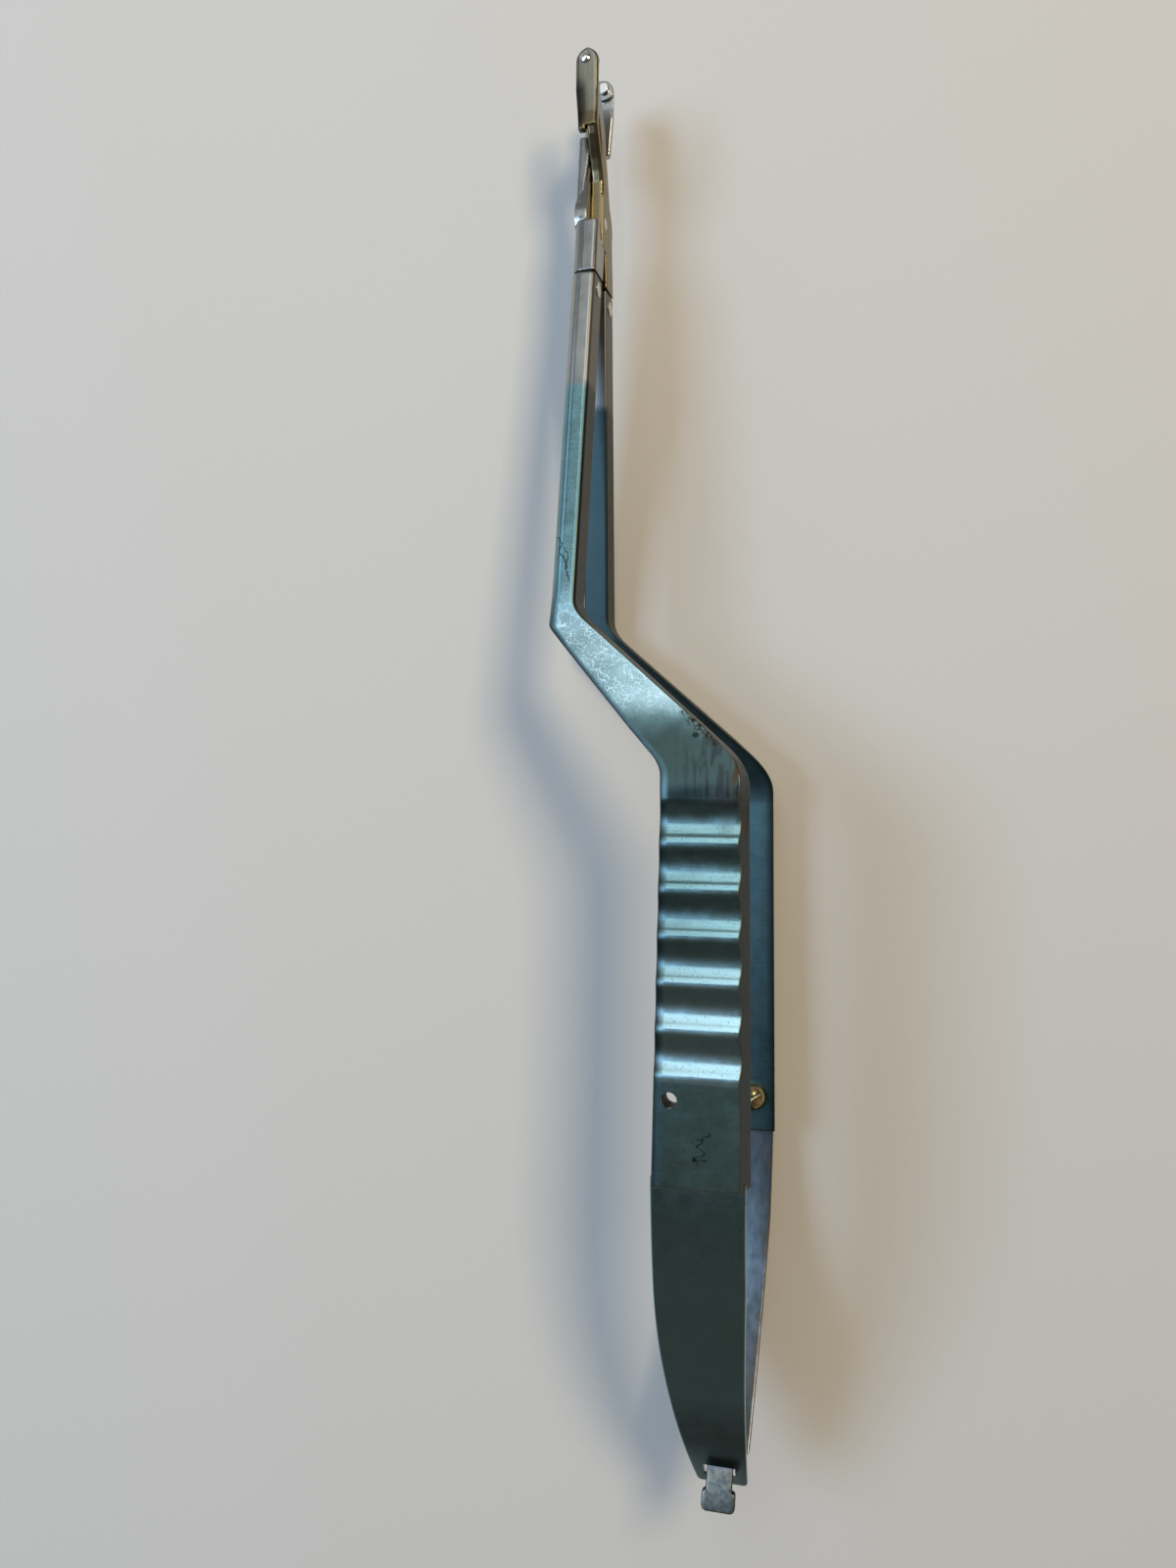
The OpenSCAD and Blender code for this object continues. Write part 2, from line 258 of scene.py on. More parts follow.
# The two arms.
# Milled from titanium bar: a slim shank, a bayonet bend and a broad plate with
# six ground finger grooves. Blasted, then anodised to a teal grey behind a
# bright front end. The lower arm is the upper one's mirror image.
MM = 0.001
lean_angle, edge_turn = np.radians(17.35), np.arctan(0.013)
pivot_mm = np.array([-14.233, 84.364, 12.722])
lean = np.array([[np.cos(lean_angle), 0.0, -np.sin(lean_angle)], [0.0, 1.0, 0.0],
                 [np.sin(lean_angle), 0.0, np.cos(lean_angle)]])
turned = np.array([[np.cos(edge_turn), -np.sin(edge_turn), 0.0],
                   [np.sin(edge_turn), np.cos(edge_turn), 0.0], [0.0, 0.0, 1.0]])
lay_down = lean @ turned


def laid(points):
    """Points drawn in mm about the pivot, laid on the table as the tool rests, in metres."""
    return (np.asarray(points) @ lay_down.T + pivot_mm) * MM


shank_w = 3.9
seam_y = -9.8
plate_front, plate_rear, plate_t = -89.7, -142.7, 4.0
plate_height = 18.5
groove_count, groove_pitch, groove_depth, valley_r = 6, 6.37, 0.88, 4.0


def corner(y, y0, slope, r):
    """Offset of a line that turns by a slope at y0, over a parabola of length r."""
    t = y0 + r - y
    return np.where(t <= 0, 0.0, np.where(t >= 2 * r, -slope * (t - r), -slope * t * t / (4 * r)))


def arm_left(y):
    drift, rake, flare = 0.012, 0.87, 0.013
    return (-shank_w / 2 + drift * y + corner(y, -64.9, -rake - drift, 0.6)
            + corner(y, -85.3, rake + flare, 1.6))


def arm_right(y):
    drift, rake, flare = 0.012, 1.13, 0.013
    return (shank_w / 2 + drift * y + corner(y, -62.4, -rake - drift, 1.8)
            + corner(y, -85.4, rake - flare, 3.0))


def arm_outer(y):
    """Height of the outer face over the mid-plane: shank, steeper bend, flat plate."""
    rise, joint_h, bend_front, bend_rear = 0.13, 4.5, -64.7, -87.8
    bend_rise = (plate_height - joint_h + rise * bend_front) / (bend_front - bend_rear)
    return (joint_h - rise * y + corner(y, bend_front, rise - bend_rise, 3.0)
            + corner(y, bend_rear, bend_rise, 2.0))


def arm_inner(y):
    return arm_outer(y) - np.interp(y, [-90, -64, -10], [plate_t, 5.4, 4.6])


def end_inset(y, front, rear, r):
    """How far a section draws in near either end, so that the end's rim is round."""
    s = np.clip(np.minimum(front - y, y - rear), 0.0, r)
    return r - np.sqrt(r * r - (r - s) ** 2)


def rings(y, x0, x1, z0, z1, radii, inset, arc, flat):
    """Rounded rectangles across the length: at every y a closed ring of points,
    with an arc at each corner and evenly spaced points on each side. The corners
    run lower left, lower right, upper right, upper left. Also returns how far
    round a corner each point lies, 1 in the middle of its arc."""
    x0, x1, z0, z1 = x0 + inset, x1 - inset, z0 + inset, z1 - inset
    radii = [np.maximum(r - inset, 0.02) for r in radii]
    cx = [x0 + radii[0], x1 - radii[1], x1 - radii[2], x0 + radii[3]]
    cz = [z0 + radii[0], z0 + radii[1], z1 - radii[2], z1 - radii[3]]
    part = np.linspace(0.0, 1.0, arc + 1)
    arcs = []
    for k in range(4):
        angle = np.pi * (1 + 0.5 * (k + part))
        arcs.append(np.stack([cx[k][:, None] + radii[k][:, None] * np.cos(angle),
                              cz[k][:, None] + radii[k][:, None] * np.sin(angle)], axis=2))
    along = np.linspace(0.0, 1.0, flat + 2)[1:-1, None]
    pieces, corners = [], []
    for k in range(4):
        start, end = arcs[k][:, -1:, :], arcs[(k + 1) % 4][:, :1, :]
        pieces += [arcs[k], start + (end - start) * along]
        corners += [1.0 - np.abs(2 * part - 1), np.zeros(flat)]
    xz = np.concatenate(pieces, axis=1)
    points = np.stack([xz[..., 0], np.broadcast_to(y[:, None], xz.shape[:2]), xz[..., 1]], axis=2)
    return points, np.broadcast_to(np.concatenate(corners), xz.shape[:2])


def skin(name, points, marks):
    """Closed mesh over rings of points in mm about the pivot, turned outwards,
    with each mark kept as an attribute of its points."""
    rows, count = points.shape[:2]
    index = np.arange(rows * count).reshape(rows, count)
    after = np.roll(index, -1, axis=1)
    quads = np.stack([index[:-1], after[:-1], after[1:], index[1:]], axis=2).reshape(-1, 4)
    flat = points.reshape(-1, 3)
    a, b, c = flat[quads[:, 0]], flat[quads[:, 1]], flat[quads[:, 2]]
    d = flat[quads[:, 3]]
    volume = (np.cross(a, b) * c).sum() + (np.cross(a, c) * d).sum()
    caps = [index[0][::-1], index[-1]]
    if volume < 0:
        quads = quads[:, ::-1]
        caps = [cap[::-1] for cap in caps]
    mesh = bpy.data.meshes.new(name)
    mesh.from_pydata(laid(flat).tolist(), [],
                     quads.tolist() + [cap.tolist() for cap in caps])
    for key, values in marks.items():
        mark = mesh.attributes.new(key, "FLOAT", "POINT")
        mark.data.foreach_set("value", np.ascontiguousarray(values, dtype=np.float32).ravel())
    mesh.polygons.foreach_set("use_smooth", np.ones(len(mesh.polygons), dtype=bool))
    obj = bpy.data.objects.new(name, mesh)
    bpy.context.scene.collection.objects.link(obj)
    return obj


def weighted(obj):
    """Keeps broad faces flat in the shading, with all the turning in their rims."""
    obj.data.set_sharp_from_angle(angle=np.radians(50.0))
    modifier = obj.modifiers.new("flat faces", "WEIGHTED_NORMAL")
    modifier.weight = 100
    modifier.keep_sharp = True


def apply_modifiers(obj):
    """Takes the finished shape as the mesh, with no modifier left on the piece."""
    graph = bpy.context.evaluated_depsgraph_get()
    shaped = bpy.data.meshes.new_from_object(obj.evaluated_get(graph))
    obj.modifiers.clear()
    obj.data = shaped


def cut_out(obj, centre, size, round_cut):
    """Cuts a round hole or a square slot through a piece, straight down."""
    cutter_mesh = bpy.data.meshes.new("cutter")
    shape = bmesh.new()
    place = (Matrix.Translation(laid(centre).tolist())
             @ Matrix(lay_down.tolist()).to_4x4())
    if round_cut:
        bmesh.ops.create_cone(shape, segments=64, radius1=size[0] / 2 * MM,
                              radius2=size[0] / 2 * MM, depth=size[2] * MM, cap_ends=True,
                              matrix=place)
    else:
        bmesh.ops.create_cube(shape, size=1.0,
                              matrix=place @ Matrix.Diagonal([*(s * MM for s in size), 1.0]))
    shape.to_mesh(cutter_mesh)
    shape.free()
    cutter = bpy.data.objects.new("cutter", cutter_mesh)
    bpy.context.scene.collection.objects.link(cutter)
    modifier = obj.modifiers.new("cut", "BOOLEAN")
    modifier.operation = "DIFFERENCE"
    modifier.solver = "EXACT"
    modifier.object = cutter
    apply_modifiers(obj)
    bpy.data.objects.remove(cutter)


def steps(start, stop, step):
    return np.arange(start, stop, -step)


def arm_skin(name, side):
    """One arm: rounded sections from the seam to the rear end. The grooves cut
    the sections off at the height of a row of cylinders, as grinding does."""
    rim = 0.25
    y = np.concatenate([
        seam_y - np.array([0.0, 0.04, 0.1, 0.17, 0.25]), steps(-10.4, -59, 0.8),
        steps(-59, -69, 0.25), steps(-69, -82, 0.5), steps(-82, -89.5, 0.25),
        steps(-89.5, -128.5, 0.13), steps(-128.5, -142.4, 0.6),
        plate_rear + np.array([0.25, 0.17, 0.1, 0.04, 0.0])])
    inset = end_inset(y, seam_y, plate_rear, rim)
    upper_left = np.interp(y, [-86, -68, -60], [0.35, 0.5, 1.7])
    upper_right = np.interp(y, [-86, -66, -60], [0.2, 0.5, 0.7])
    small = np.full_like(y, 0.3)
    points, turn_mark = rings(y, arm_left(y), arm_right(y), arm_inner(y), arm_outer(y),
                              [small, small, upper_right, upper_left], inset, 10, 10)
    nearest = np.clip(np.round((plate_front - y) / groove_pitch - 0.5), 0, groove_count - 1)
    away = np.abs(y - plate_front + groove_pitch * (nearest + 0.5))
    steepest = 2 * np.arctan(groove_depth / (groove_pitch / 2))
    ridge_r = groove_pitch / 2 / np.sin(steepest) - valley_r
    from_ridge = np.clip(groove_pitch / 2 - away, 0.0, ridge_r)
    wave = np.where(away < valley_r * np.sin(steepest),
                    valley_r - groove_depth - np.sqrt(np.maximum(0.0, valley_r ** 2 - away ** 2)),
                    np.sqrt(ridge_r ** 2 - from_ridge ** 2) - ridge_r)
    cut = np.where(away < groove_pitch / 2, wave, 0.0)[:, None]
    bevel_right, bevel_left = 1.05, 0.45
    low, high = arm_inner(y)[:, None], arm_outer(y)[:, None]
    up = (points[..., 2] - low) / (high - low)
    across = ((points[..., 0] - arm_left(y)[:, None])
              / (arm_right(y) - arm_left(y))[:, None])
    plate = np.interp(y, [-90, -80], [1.0, 0.0])[:, None]
    points[..., 2] += cut * np.clip(1.6 * up - 0.6, 0.0, 1.0)
    up = (points[..., 2] - low) / (high - low)
    points[..., 0] += plate * up * (bevel_left * (1 - across) - bevel_right * across)
    end_mark = np.broadcast_to((inset > 0.02)[:, None] * 1.0, turn_mark.shape)
    # Where shade is painted: full on the flat sides, lighter on the inner face, fading round the corner
    # arcs.
    fade = np.linspace(1.0, 0.0, 11)
    inner = np.interp(y, [-90, -62], [0.66, 0.96])[:, None]
    slim = np.interp(y, [-66, -57], [0.0, 1.0])[:, None]
    one, none = np.ones((len(y), 11)), np.zeros((len(y), 10))
    left_arc = slim * np.clip(2.5 * fade[::-1] - 1.5, 0, 1) + (1 - slim) * 0.9
    face = np.hstack([one, inner + none, one, 1.0 + none, np.clip(3 * fade, 0, 1) + 0 * one, none,
                      left_arc, 1.0 + none])
    # Weights for the gold rims, a painted highlight of warm light with some wear, strongest on the upper
    # right corner.
    rim_highlight_weight = np.hstack([0.3 * one, none, 0.5 * one, none, one * (1 - 0.8 * slim), none,
                             0.2 * one, none])
    marks = {"rim": np.maximum(turn_mark * rim_highlight_weight, 0.9 * end_mark), "flank": face}
    points[..., 2] *= side
    return skin(name, points, marks)


upper_arm = arm_skin("upper_arm_skin", 1.0)
lower_arm = arm_skin("lower_arm_skin", -1.0)
hole_place, hole_d = (17.1, -130.8, plate_height - plate_t / 2), 2.2
cut_out(upper_arm, hole_place, (hole_d, hole_d, 9.0), True)

anodised = Finish("teal anodised titanium")


def anodise(finish, front_y, scuff, grime_and_shade, ink, tarnish_and_shade, streaks, handled, shade_and_matte, shade_tone):
    """Teal oxide over blasted titanium. Cloudy where the film's thickness varies,
    rubbed along the rims with a painted gold highlight there, scratched and
    stained by use. Shade is painted where the shade mask is 1, and some of it
    comes with the grime and tarnish masks."""
    along = finish.axis("Y")
    rim = finish.attribute("rim")
    cloud = finish.noise((70.0, 45.0, 70.0), detail=4.0, shift=(0.3, 0.1, 0.0))
    mottle = finish.noise((420.0, 420.0, 420.0), detail=5.0, shift=(1.3, 0.4, 0.2))
    blast = finish.noise((9000.0, 9000.0, 9000.0), detail=3.0)
    drawn = finish.noise((260.0, 5200.0, 260.0), detail=3.0, shift=(0.0, 0.7, 0.0))
    film = finish.ramp(cloud * 0.7 + mottle * 0.3, [
        (0.30, (0.16, 0.29, 0.31)), (0.48, (0.20, 0.36, 0.39)),
        (0.60, (0.23, 0.41, 0.44)), (0.75, (0.30, 0.40, 0.45))])
    tone = finish.mix(finish.rise(drawn, 0.35, 0.75) * 0.3, film, (0.13, 0.20, 0.20))
    pits = finish.rise(finish.noise((2800.0, 2800.0, 2800.0), detail=3.0), 0.56, 0.70)
    tone = finish.mix(handled, tone, (0.36, 0.55, 0.60))
    tone = finish.mix(pits * 0.35, tone, (0.06, 0.08, 0.08))
    # Tarnish and painted shade: dark streaked tones where the mask is 1.
    tone = finish.mix(tarnish_and_shade, tone, finish.mix(streaks, (0.044, 0.070, 0.068),
                                                (0.030, 0.040, 0.044)))
    tone = finish.mix(scuff, tone, (0.60, 0.78, 0.82))
    # Painted shade: the side and inner faces are darkened almost to black.
    tone = finish.mix(shade_and_matte, tone, shade_tone)
    # Gold along the rims: rubbed wear with a painted highlight of warm light, most on the upper right
    # rims.
    rim_wear_and_highlight = finish.rise(rim * 0.8 + mottle * 0.4, 0.66, 0.95) * 0.8
    tone = finish.mix(rim_wear_and_highlight, tone, (0.50, 0.42, 0.27))
    # Grime, and painted shade in the bore: dark brown where the mask is 1.
    tone = finish.mix(grime_and_shade, tone, (0.07, 0.048, 0.026))
    tone = finish.mix(ink, tone, (0.008, 0.010, 0.009))
    if front_y is not None:
        bright = finish.rise(along + (mottle - 0.5) * 0.0012, front_y - 0.0008, front_y + 0.0008)
        grey = finish.mix(mottle, (0.32, 0.325, 0.315), (0.46, 0.455, 0.435))
        # Painted shade on the sides of the bright front end too.
        grey = finish.mix(shade_and_matte * 0.8, grey, (0.09, 0.09, 0.085))
        tone = finish.mix(bright, tone, grey)
    finish.feed(finish.shader.inputs["Base Color"], tone)
    finish.shader.inputs["Metallic"].default_value = 1.0
    # The shade mask also makes those faces matte.
    finish.feed(finish.shader.inputs["Roughness"],
                0.15 + mottle * 0.12 + shade_and_matte * 0.2 + scuff * 0.12 + grime_and_shade * 0.3)
    height = blast * 0.25 + drawn * 0.35 + scuff * 0.8
    finish.feed(finish.shader.inputs["Normal"], finish.bump(height, 0.25, 0.00003))


def wavy_line(finish, start, end, sway, waves, wobble, width):
    """1 along a wavy stroke from a start to an end given as (x, y) in metres: the
    distance to x = line + sway sin(waves turns) + wobble, inside the stroke's length."""
    x, y = finish.axis("X"), finish.axis("Y")
    slope = (end[0] - start[0]) / (end[1] - start[1])
    turns = waves * 2 * np.pi / (end[1] - start[1])
    swing = finish.node("ShaderNodeMath", {"operation": "SINE"},
                        {0: (y - start[1]) * turns}) * sway
    off = abs(x - ((y - start[1]) * slope + start[0]) - swing - wobble)
    low, high = min(start[1], end[1]), max(start[1], end[1])
    inside = (finish.rise(y, low - 0.0003, low + 0.0003)
              * finish.rise(y, high + 0.0003, high - 0.0003))
    return finish.rise(off, width, width * 0.4) * inside


# This mark paints shade on the side and inner faces.
flank = anodised.attribute("flank")
along_arm, over_table = anodised.axis("Y"), anodised.axis("Z")
top_only = anodised.rise(over_table, 0.020, 0.0215) * (1.0 - flank)


def curls(scale, shift, width):
    """Fine bent scratches: where a smooth warped noise passes through its middle."""
    warped = anodised.noise((scale,) * 3, detail=1.0, bend=1.3, shift=shift)
    return anodised.rise(abs(warped - 0.5), width, width * 0.2)


patchy = anodised.noise((260.0, 260.0, 260.0), detail=2.0, shift=(4.0, 2.0, 1.0))
here, there = anodised.rise(patchy, 0.40, 0.62), anodised.rise(patchy, 0.60, 0.38)
wisps = (curls(260.0, (0.0, 0.0, 0.0), 0.012) * here
         + curls(380.0, (3.0, 1.0, 2.0), 0.013) * there
         + curls(560.0, (1.0, 5.0, 2.0), 0.016) * here * 0.8
         + curls(760.0, (7.0, 2.0, 5.0), 0.018) * there * 0.6)
scuff_area = anodised.blot((-0.0100, 0.0132, 0.0295), (0.0165, 0.0185, 0.016), 0.45)
scuff_core = anodised.blot((-0.0055, 0.0092, 0.0317), (0.0065, 0.0050, 0.004), 0.9)
scuff_mask = ((wisps * 1.2 + patchy * 0.72 + scuff_core * 0.15).at_most(1.0) * scuff_area * top_only
              * anodised.rise(along_arm, 0.0052, 0.0092))
# A dark streaked band over the rear bend: tarnish, with painted shade for the bend's turn.
bend_tarnish_and_shade = (anodised.rise(along_arm, -0.0064, -0.0048)
                * anodised.rise(along_arm + (patchy - 0.5) * 0.004, 0.0098, 0.0030) * top_only)
streak = anodised.noise((1100.0, 30.0, 1100.0), detail=3.0, shift=(0.0, 0.3, 0.0))
streak_mask = (anodised.rise(streak, 0.48, 0.60)
               * anodised.rise(anodised.axis("X"), -0.0040, 0.0030))
stain_speck = anodised.rise(anodised.noise((2600.0, 2600.0, 2600.0), detail=4.0), 0.45, 0.55)
stain_area = 0.0
for stain_place, stain_r in (((-0.0006, 0.00693, 0.03373), 0.0009),
                             ((0.0004, 0.00569, 0.03441), 0.0012),
                             ((0.0015, 0.00460, 0.03501), 0.0013),
                             ((0.0026, 0.00352, 0.03561), 0.0010),
                             ((0.0034, 0.00244, 0.03612), 0.0008)):
    stain_area = anodised.blot(stain_place, (stain_r,) * 3, 0.8) + stain_area
brown_area = (anodised.blot((0.0050, -0.0065, 0.0378), (0.0045, 0.0045, 0.004), 0.9) * 0.65
              + anodised.blot((0.0010, -0.0135, 0.0372), (0.0060, 0.0030, 0.004), 0.9) * 0.55
              + anodised.blot((0.0000, -0.0200, 0.0370), (0.0060, 0.0030, 0.004), 0.9) * 0.35)
brown_cloud = anodised.rise(anodised.noise((500.0, 260.0, 500.0), detail=4.0), 0.30, 0.60)
smudge = anodised.rise(anodised.noise((900.0, 900.0, 900.0), detail=3.0, shift=(2.0, 6.0, 1.0)),
                       0.62, 0.70)
wall_grime = (anodised.rise(anodised.noise((600.0, 150.0, 600.0), detail=4.0), 0.50, 0.62)
              * anodised.blot((0.0075, -0.0035, 0.0375), (0.0035, 0.0085, 0.004), 0.6))
# Painted shade in the bore: its wall and a thin ring round it are darkened.
bore_shade = anodised.blot((-0.00121, -0.0462, 0.03408), (0.00195, 0.00195, 0.00195), 0.08)
grime_and_bore_shade = (stain_speck * stain_area + brown_cloud * brown_area + wall_grime
              + bore_shade).at_most(1.0)
spot = anodised.blot((0.0008, 0.0035, 0.0351), (0.0006, 0.0005, 0.001), 0.5)
wobble = (anodised.noise((900.0, 900.0, 900.0), detail=2.0) - 0.5) * 0.0012
squiggle = (wavy_line(anodised, (0.00356, -0.05013), (0.00266, -0.05101), 0.0002, 1.0, wobble, 0.00011)
            + wavy_line(anodised, (0.00266, -0.05101), (0.00209, -0.05212), 0.0001, 1.0, wobble, 0.00013)
            + wavy_line(anodised, (0.00209, -0.05212), (0.00301, -0.05274), 0.0, 1.0, wobble, 0.00013)
            + wavy_line(anodised, (0.00301, -0.05274), (0.00174, -0.05386), 0.0003, 1.0, wobble, 0.00014)
            + wavy_line(anodised, (0.00200, -0.05386), (0.00231, -0.05458), 0.0001, 1.0, wobble, 0.00009))
for mark_place, mark_size in (((0.00340, -0.05060, 0.0376), (0.00060, 0.00012, 0.001)),
                              ((0.00225, -0.05110, 0.0372), (0.00050, 0.00010, 0.001)),
                              ((0.00174, -0.05386, 0.0371), (0.00045, 0.00032, 0.001)),
                              ((0.00290, -0.05380, 0.0375), (0.00070, 0.00010, 0.001))):
    squiggle = squiggle + anodised.blot(mark_place, mark_size, 0.7)
hairline = (wavy_line(anodised, (-0.0188, 0.0330), (-0.0174, 0.0280), 0.00025, 1.5, wobble, 0.00014)
            + wavy_line(anodised, (-0.0176, 0.0312), (-0.0168, 0.0262), 0.0002, 1.0, wobble, 0.00012))
ink_mask = (((squiggle + hairline).at_most(1.0) * 0.85 + spot * 0.8 + stain_speck * stain_area * 0.6)
            * top_only + smudge * 0.12).at_most(1.0)
handled_mask = (anodised.rise(along_arm, -0.022, -0.036)
                * anodised.rise(along_arm, -0.0440, -0.0434) * top_only)
# The last two arguments paint shade on the side and inner faces, in a near-black tone.
anodise(anodised, 0.0566, scuff_mask, grime_and_bore_shade, ink_mask, bend_tarnish_and_shade, streak_mask,
        handled_mask, flank * 0.96, (0.020, 0.026, 0.026))
for arm, node, body in ((upper_arm, "upper_arm", "upper_body"),
                        (lower_arm, "lower_arm", "lower_body")):
    anodised.dress(arm)
    weighted(arm)
    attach(arm, body)
    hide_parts(node)

# The two levers with their jaws.
# Each is one titanium forging, ground to a half-lap at the pivot, with a tang
# riveted into its arm. Left bare and satin polished, so its corners are soft.
def polish(name, tones, painted_dark, painted_dark_tone, warm_reflection_amount):
    """Bare satin titanium: fine lengthwise polishing lines over a soft cloud,
    painted dark where the mask is 1 (painted shade on the boss, a painted dark
    reflection on the jaw plate), and a painted warm reflection as a straw tint
    behind the jaw plate."""
    finish = Finish(name)
    # Painted warm reflection: a straw tint behind the jaw plate.
    warm_reflection = finish.rise(finish.axis("Y"), 0.1010, 0.0985) * warm_reflection_amount
    haze = finish.noise((300.0, 120.0, 300.0), detail=4.0)
    lines = finish.noise((5200.0, 260.0, 5200.0), detail=3.0)
    fleck = finish.rise(finish.noise((1800.0, 900.0, 1800.0), detail=3.0), 0.60, 0.72)
    tone = finish.ramp(haze * 0.7 + lines * 0.3, [
        (0.3, tones[0]), (0.5, tones[1]), (0.7, tones[2])])
    tone = finish.mix(fleck * 0.3, tone, (0.08, 0.08, 0.07))
    tone = finish.mix(warm_reflection, tone, (0.19, 0.148, 0.070))
    # Painted shade and dark reflection where the mask is 1.
    tone = finish.mix(painted_dark(finish), tone, painted_dark_tone)
    finish.feed(finish.shader.inputs["Base Color"], tone)
    finish.shader.inputs["Metallic"].default_value = 1.0
    finish.feed(finish.shader.inputs["Roughness"], 0.17 + haze * 0.12)
    finish.feed(finish.shader.inputs["Normal"], finish.bump(lines, 0.15, 0.00002))
    return finish


# A painted dark reflection on the left rear of the upper jaw plate.
def plate_shade(finish):
    cloud = finish.noise((500.0, 300.0, 500.0), detail=3.0)
    return (finish.blot((-0.0172, 0.1008, 0.0169), (0.0019, 0.0060, 0.0045), 0.7)
            * (cloud * 0.5 + 0.7)).at_most(0.90)


# Painted shade on the lower jaw's boss.
def boss_shade(finish):
    return finish.blot((-0.0127, 0.0884, 0.0115), (0.0006, 0.0060, 0.0040), 0.5) * 0.6


# The upper jaw's lever: its warm tones and straw tint are a painted warm reflection.
bare_warm = polish("bare titanium with painted warm reflection", ((0.155, 0.15, 0.12), (0.22, 0.21, 0.17),
                                                  (0.28, 0.265, 0.21)), plate_shade,
                   (0.022, 0.021, 0.014), 0.85)
bare_cool = polish("bare titanium", ((0.26, 0.265, 0.26), (0.345, 0.35, 0.34),
                                     (0.43, 0.43, 0.41)), boss_shade, (0.06, 0.058, 0.05), 0.0)


def polished(node, name, voxel_mm, passes, lands):
    """The node's solid and its lands under one fine voxel skin, relaxed so that
    ground corners turn soft. Worked out in millimetres, then put back in metres."""
    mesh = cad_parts[node].data.copy()
    shape = bmesh.new()
    shape.from_mesh(mesh)
    for land in lands:
        shape.from_mesh(land.data)
        bpy.data.objects.remove(land)
    bmesh.ops.remove_doubles(shape, verts=shape.verts, dist=1e-7)
    bmesh.ops.scale(shape, vec=(1 / MM,) * 3, verts=shape.verts)
    shape.to_mesh(mesh)
    shape.free()
    obj = bpy.data.objects.new(name, mesh)
    bpy.context.scene.collection.objects.link(obj)
    remesh = obj.modifiers.new("voxels", "REMESH")
    remesh.mode = "VOXEL"
    remesh.voxel_size = voxel_mm
    smooth = obj.modifiers.new("relax", "SMOOTH")
    smooth.iterations = passes
    apply_modifiers(obj)
    where = np.empty(len(obj.data.vertices) * 3)
    obj.data.vertices.foreach_get("co", where)
    obj.data.vertices.foreach_set("co", where * MM)
    obj.data.polygons.foreach_set("use_smooth", np.ones(len(obj.data.polygons), dtype=bool))
    obj.data.update()
    return obj


def land(name, y, x0, x1, z0, z1, radii, end_r):
    """A rounded bar that carries a lever's form on over a short length."""
    width = np.ones_like(y)
    points, turn_mark = rings(y, x0 * width, x1 * width, z0 * width, z1 * width,
                              [r * width for r in radii], end_inset(y, y[0], y[-1], end_r), 6, 6)
    return skin(name, points, {})


heel_y = np.concatenate([16.0 - np.array([0.0, 0.1, 0.2, 0.35]), steps(15.6, 12.8, 0.2),
                         12.42 + np.array([0.35, 0.2, 0.1, 0.04, 0.0])])
heel_left = np.interp(heel_y, [13, 16], [-1.35, -1.6])
heel_top = np.interp(heel_y, [12.4, 13, 15.5, 16], [5.33, 5.29, 5.03, 4.90])
saddle_y = np.concatenate([18.0 - np.array([0.0, 0.1, 0.2, 0.35]), steps(17.6, -0.9, 0.2)])
saddle_top = np.interp(saddle_y, [-1, 6, 7.5, 9, 10.5, 12, 13.2, 14.5, 16, 18],
                       [1.72, 1.72, 2.25, 2.95, 3.8, 4.6, 5.1, 5.1, 5.0, 4.9])
saddle_right = np.interp(saddle_y, [4, 16], [1.93, 1.68])
shoulder_y = np.concatenate([13.15 - np.array([0.0, 0.04, 0.1, 0.2, 0.35]),
                             steps(12.7, 0.6, 0.3)])
shoulder_top = np.interp(shoulder_y, [0.5, 2.6, 5.6, 8.8, 11, 13.2],
                         [3.95, 3.60, 3.15, 2.75, 2.45, 2.20])
shoulder_right = np.interp(shoulder_y, [0.5, 3, 10], [-1.2, -0.75, -0.12])
lands = {
    "upper_jaw": [land("plate_heel", heel_y, heel_left, -0.1, 4.0, heel_top,
                       [0.3, 0.3, 0.4, 0.5], 0.35),
                  land("saddle", saddle_y, 0.08, saddle_right, saddle_top - 1.2, saddle_top,
                       [0.1, 0.1, 0.5, 0.3], 0.3)],
    "lower_jaw": [land("shoulder", shoulder_y, -1.94, shoulder_right, shoulder_top - 1.3,
                       shoulder_top, [0.2, 0.2, 0.25, 0.45], 0.35)]}
for node, body, finish in (("upper_jaw", "lower_body", bare_warm),
                           ("lower_jaw", "upper_body", bare_cool)):
    lever = polished(node, node + "_skin", 0.075, 10, lands[node])
    finish.dress(lever)
    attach(lever, body)
    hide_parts(node)

# The pins and rivets.
# Turned titanium wire, pressed in and ground flush, except for the two jaw pins,
# which keep a low polished dome.
pin_metal = Finish("polished pin titanium")
pin_haze = pin_metal.noise((900.0, 900.0, 900.0), detail=4.0)
pin_metal.feed(pin_metal.shader.inputs["Base Color"], pin_metal.mix(
    pin_haze, (0.66, 0.65, 0.62), (0.80, 0.79, 0.75)))
pin_metal.shader.inputs["Metallic"].default_value = 1.0
pin_metal.feed(pin_metal.shader.inputs["Roughness"], 0.14 + pin_haze * 0.12)
for node in ("pivot_pin", "upper_arm_rivet", "lower_arm_rivet", "upper_tip_pin",
             "lower_tip_pin"):
    pin_metal.dress(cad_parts[node])

